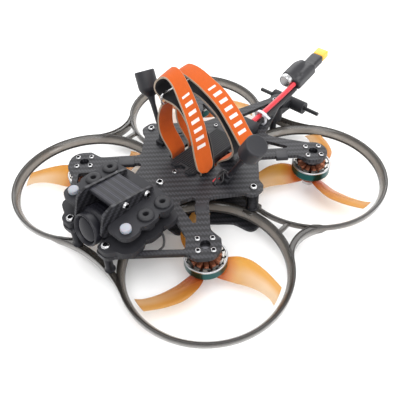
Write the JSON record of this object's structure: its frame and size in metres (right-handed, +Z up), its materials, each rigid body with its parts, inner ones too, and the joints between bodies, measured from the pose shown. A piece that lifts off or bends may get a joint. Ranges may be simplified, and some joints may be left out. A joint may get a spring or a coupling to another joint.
{
  "type": "fpv racing drone",
  "caption": "Ducted racing quadcopter: carbon plates, smoke guard rings, pusher rotors below, tilting nose camera, battery straps and rear battery lead.",
  "frame": {"origin": "middle of the lower plate's flat underside, midway between the four motor axes", "axes": "+Z up, the nose and camera point to -Y, the drone's left is +X"},
  "size_m": [0.2066, 0.2391, 0.0909],
  "materials": {
    "carbon": "woven carbon fibre sheet, satin",
    "smoke_guard": "smoke-tinted glossy moulded plastic",
    "black_tpu": "black printed flexible plastic, fine layer lines",
    "black_metal": "black anodised",
    "rubber": "soft black rubber",
    "pin_white": "milky white plastic",
    "lens_black": "black hood around a coated lens",
    "circuit": "black circuit board with parts",
    "copper": "copper windings on a black stator",
    "bell_teal": "dark teal anodised with a bare silver rim",
    "prop_amber": "translucent amber, redder towards the hub",
    "steel": "bare bright metal",
    "connector_yellow": "yellow moulded plastic",
    "heat_shrink": "black heat-shrink tube",
    "wire_red": "red silicone wire",
    "wire_black": "black silicone wire",
    "strap_orange": "orange woven webbing with a black back"
  },
  "bodies": {
    "airframe": {"main_plate": "carbon", "base_plate": "carbon", "camera_side_plate_left": "carbon", "camera_side_plate_right": "carbon", "guard_ring_front_left": "smoke_guard", "guard_ring_front_right": "smoke_guard", "guard_ring_rear_left": "smoke_guard", "guard_ring_rear_right": "smoke_guard", "guard_band_front": "smoke_guard", "guard_band_rear": "smoke_guard", "guard_band_left": "smoke_guard", "guard_band_right": "smoke_guard", "lower_camera_deck": "black_tpu", "upper_camera_deck": "black_tpu", "camera_cage_cover": "black_tpu", "tail_mount": "black_tpu", "lead_clamp": "black_tpu", "video_antenna_left": "black_tpu", "video_antenna_right": "black_tpu", "side_post_left": "black_metal", "side_post_right": "black_metal", "front_post_left": "black_metal", "front_post_right": "black_metal", "rear_post": "black_metal", "video_transmitter": "black_metal", "damper_front_left": "rubber", "damper_front_right": "rubber", "damper_rear_left": "rubber", "damper_rear_right": "rubber", "battery_pad": "rubber", "damper_pin_left": "pin_white", "damper_pin_right": "pin_white", "flight_controller": "circuit", "receiver_board": "circuit", "stator_front_left": "copper", "stator_front_right": "copper", "stator_rear_left": "copper", "stator_rear_right": "copper", "capacitor": "steel", "buckle_front": "steel", "buckle_rear": "steel", "battery_connector": "connector_yellow", "connector_boot": "heat_shrink", "lead_red": "wire_red", "lead_black": "wire_black", "rc_antenna": "wire_black", "strap_front": "strap_orange", "strap_rear": "strap_orange"},
    "rotor_front_left": {"bell_front_left": "bell_teal", "propeller_front_left": "prop_amber"},
    "rotor_front_right": {"bell_front_right": "bell_teal", "propeller_front_right": "prop_amber"},
    "rotor_rear_left": {"bell_rear_left": "bell_teal", "propeller_rear_left": "prop_amber"},
    "rotor_rear_right": {"bell_rear_right": "bell_teal", "propeller_rear_right": "prop_amber"},
    "camera": {"camera_body": "black_tpu", "camera_lens": "lens_black"}
  },
  "joints": [
    {"name": "spin_front_left", "type": "hinge", "parent": "airframe", "child": "rotor_front_left", "pos_m": [0.0525, -0.0525, 0], "axis": [0, 0, 1], "continuous": true},
    {"name": "spin_front_right", "type": "hinge", "parent": "airframe", "child": "rotor_front_right", "pos_m": [-0.0525, -0.0525, 0], "axis": [0, 0, 1], "continuous": true},
    {"name": "spin_rear_left", "type": "hinge", "parent": "airframe", "child": "rotor_rear_left", "pos_m": [0.0525, 0.0525, 0], "axis": [0, 0, 1], "continuous": true},
    {"name": "spin_rear_right", "type": "hinge", "parent": "airframe", "child": "rotor_rear_right", "pos_m": [-0.0525, 0.0525, 0], "axis": [0, 0, 1], "continuous": true},
    {"name": "camera_tilt", "type": "hinge", "parent": "airframe", "child": "camera", "pos_m": [0, -0.0765, 0.0402], "axis": [-1, 0, 0], "range_deg": [-20, 15]}
  ]
}
